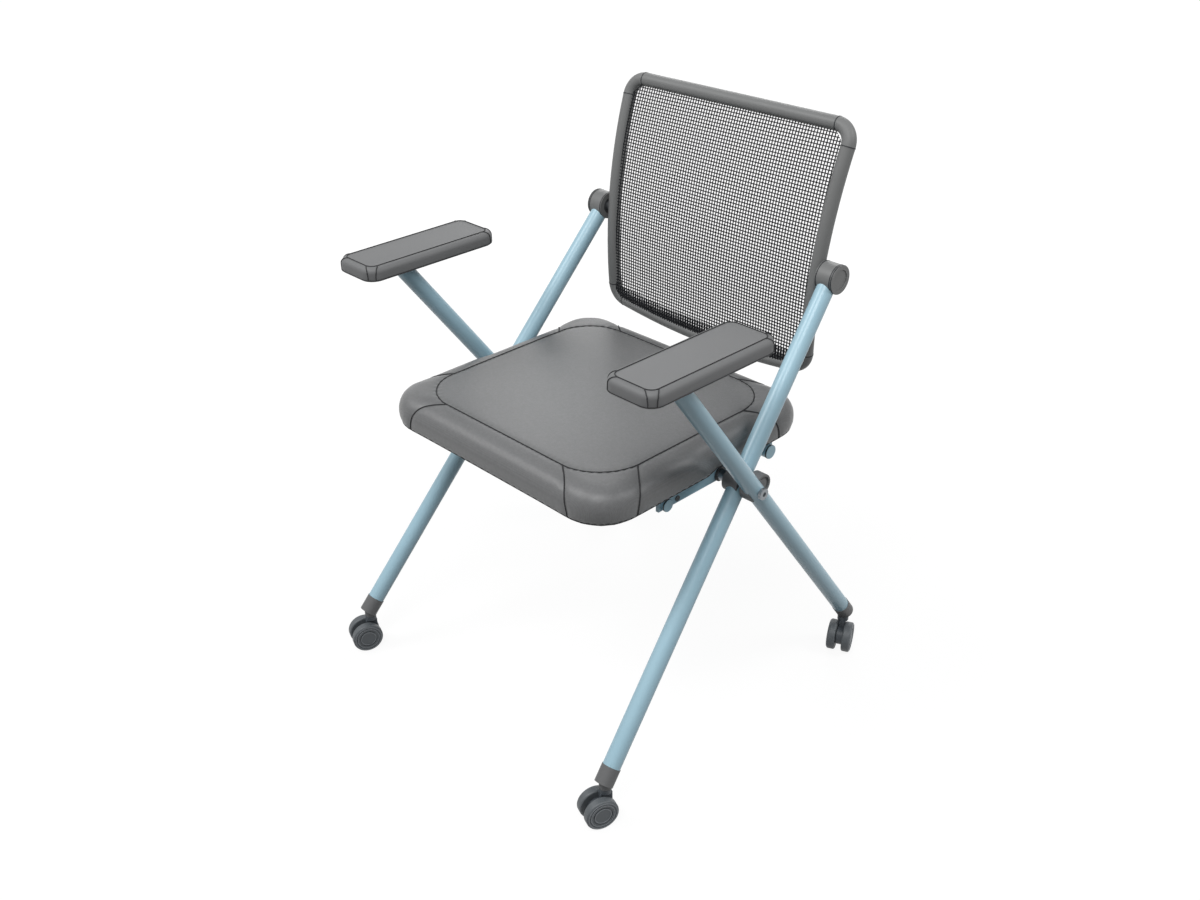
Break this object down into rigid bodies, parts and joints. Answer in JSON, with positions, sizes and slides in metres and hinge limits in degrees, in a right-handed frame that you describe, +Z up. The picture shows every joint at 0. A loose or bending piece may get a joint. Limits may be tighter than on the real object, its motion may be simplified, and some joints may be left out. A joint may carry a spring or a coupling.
{
  "type": "nesting chair",
  "caption": "Nesting chair with a crossing tube frame on casters, flip-up upholstered seat, reclining mesh back and arm pads on the rear-leg tubes.",
  "frame": {"origin": "on the floor, under the middle of the chair's plan box", "axes": "+X to the right as seen from the front, +Y towards the back of the chair, +Z up"},
  "size_m": [0.6054, 0.5784, 0.8193],
  "materials": {
    "tube_paint": "satin light blue",
    "hub_plastic": "moulded grey",
    "back_plastic": "moulded grey",
    "pad_plastic": "soft skinned grey",
    "seat_fabric": "plain grey weave",
    "net_fabric": "open black net",
    "pan_plastic": "moulded black",
    "wheel_plastic": "moulded dark grey",
    "fork_plastic": "moulded dark grey",
    "bush_plastic": "plain bearing",
    "steel": "zinc plated"
  },
  "bodies": {
    "front_frame": {"cross_axle": "tube_paint", "pivot_bolts": "steel", "pivot_spacers": "steel", "hinge_bushes": "bush_plastic", "front_stems": "steel", "front_tube_left": "tube_paint", "front_hub_left": "hub_plastic", "hinge_drum_left": "hub_plastic", "drum_cap_left": "hub_plastic", "seat_stop_left": "tube_paint", "front_tube_right": "tube_paint", "front_hub_right": "hub_plastic", "hinge_drum_right": "hub_plastic", "drum_cap_right": "hub_plastic", "seat_stop_right": "tube_paint", "front_left_socket": "hub_plastic", "front_right_socket": "hub_plastic"},
    "rear_frame": {"rear_stems": "steel", "arm_screws": "steel", "rear_tube_left": "tube_paint", "rear_hub_left": "hub_plastic", "arm_plate_left": "tube_paint", "arm_pad_left": "pad_plastic", "rear_tube_right": "tube_paint", "rear_hub_right": "hub_plastic", "arm_plate_right": "tube_paint", "arm_pad_right": "pad_plastic", "rear_left_socket": "hub_plastic", "rear_right_socket": "hub_plastic"},
    "seat": {"seat_cushion": "seat_fabric", "seat_pan": "pan_plastic", "seat_rail_left": "tube_paint", "seat_rail_right": "tube_paint", "front_bar": "tube_paint", "rear_bar": "tube_paint", "stop_rod": "tube_paint", "bar_caps": "tube_paint", "rail_bushes": "bush_plastic", "pan_screws": "steel"},
    "back": {"back_frame": "back_plastic", "back_mesh": "net_fabric", "back_pin_left": "steel", "back_pin_right": "steel"},
    "front_left_caster": {"front_left_fork": "fork_plastic", "front_left_spindle": "steel"},
    "front_left_wheel_inner": {"front_left_wheel_inner": "wheel_plastic"},
    "front_left_wheel_outer": {"front_left_wheel_outer": "wheel_plastic"},
    "front_right_caster": {"front_right_fork": "fork_plastic", "front_right_spindle": "steel"},
    "front_right_wheel_inner": {"front_right_wheel_inner": "wheel_plastic"},
    "front_right_wheel_outer": {"front_right_wheel_outer": "wheel_plastic"},
    "rear_left_caster": {"rear_left_fork": "fork_plastic", "rear_left_spindle": "steel"},
    "rear_left_wheel_inner": {"rear_left_wheel_inner": "wheel_plastic"},
    "rear_left_wheel_outer": {"rear_left_wheel_outer": "wheel_plastic"},
    "rear_right_caster": {"rear_right_fork": "fork_plastic", "rear_right_spindle": "steel"},
    "rear_right_wheel_inner": {"rear_right_wheel_inner": "wheel_plastic"},
    "rear_right_wheel_outer": {"rear_right_wheel_outer": "wheel_plastic"}
  },
  "joints": [
    {"name": "frame_fold", "type": "hinge", "parent": "front_frame", "child": "rear_frame", "pos_m": [0, 0.02717, 0.391], "axis": [-1, 0, 0], "range_deg": [0, 38]},
    {"name": "seat_flip", "type": "hinge", "parent": "front_frame", "child": "seat", "pos_m": [0, 0.02717, 0.391], "axis": [-1, 0, 0], "range_deg": [0, 80]},
    {"name": "back_recline", "type": "hinge", "parent": "front_frame", "child": "back", "pos_m": [0, 0.22414, 0.62], "axis": [-1, 0, 0], "range_deg": [0, 12], "stiffness_Nm_per_rad": 120},
    {"name": "front_left_swivel", "type": "hinge", "parent": "front_frame", "child": "front_left_caster", "pos_m": [-0.26289, -0.25152, 0.056], "axis": [0, 0, 1], "continuous": true},
    {"name": "front_left_roll_inner", "type": "hinge", "parent": "front_left_caster", "child": "front_left_wheel_inner", "pos_m": [-0.26665, -0.26186, 0.0235], "axis": [0.9397, -0.342, 0], "continuous": true},
    {"name": "front_left_roll_outer", "type": "hinge", "parent": "front_left_caster", "child": "front_left_wheel_outer", "pos_m": [-0.26665, -0.26186, 0.0235], "axis": [0.9397, -0.342, 0], "continuous": true},
    {"name": "front_right_swivel", "type": "hinge", "parent": "front_frame", "child": "front_right_caster", "pos_m": [0.26289, -0.25152, 0.056], "axis": [0, 0, 1], "continuous": true},
    {"name": "front_right_roll_inner", "type": "hinge", "parent": "front_right_caster", "child": "front_right_wheel_inner", "pos_m": [0.25913, -0.26186, 0.0235], "axis": [0.9397, -0.342, 0], "continuous": true},
    {"name": "front_right_roll_outer", "type": "hinge", "parent": "front_right_caster", "child": "front_right_wheel_outer", "pos_m": [0.25913, -0.26186, 0.0235], "axis": [0.9397, -0.342, 0], "continuous": true},
    {"name": "rear_left_swivel", "type": "hinge", "parent": "rear_frame", "child": "rear_left_caster", "pos_m": [-0.26218, 0.27132, 0.056], "axis": [0, 0, 1], "continuous": true},
    {"name": "rear_left_roll_inner", "type": "hinge", "parent": "rear_left_caster", "child": "rear_left_wheel_inner", "pos_m": [-0.26447, 0.26056, 0.0235], "axis": [0.9781, -0.2079, 0], "continuous": true},
    {"name": "rear_left_roll_outer", "type": "hinge", "parent": "rear_left_caster", "child": "rear_left_wheel_outer", "pos_m": [-0.26447, 0.26056, 0.0235], "axis": [0.9781, -0.2079, 0], "continuous": true},
    {"name": "rear_right_swivel", "type": "hinge", "parent": "rear_frame", "child": "rear_right_caster", "pos_m": [0.26218, 0.27132, 0.056], "axis": [0, 0, 1], "continuous": true},
    {"name": "rear_right_roll_inner", "type": "hinge", "parent": "rear_right_caster", "child": "rear_right_wheel_inner", "pos_m": [0.26683, 0.26135, 0.0235], "axis": [0.9063, 0.4226, 0], "continuous": true},
    {"name": "rear_right_roll_outer", "type": "hinge", "parent": "rear_right_caster", "child": "rear_right_wheel_outer", "pos_m": [0.26683, 0.26135, 0.0235], "axis": [0.9063, 0.4226, 0], "continuous": true}
  ]
}
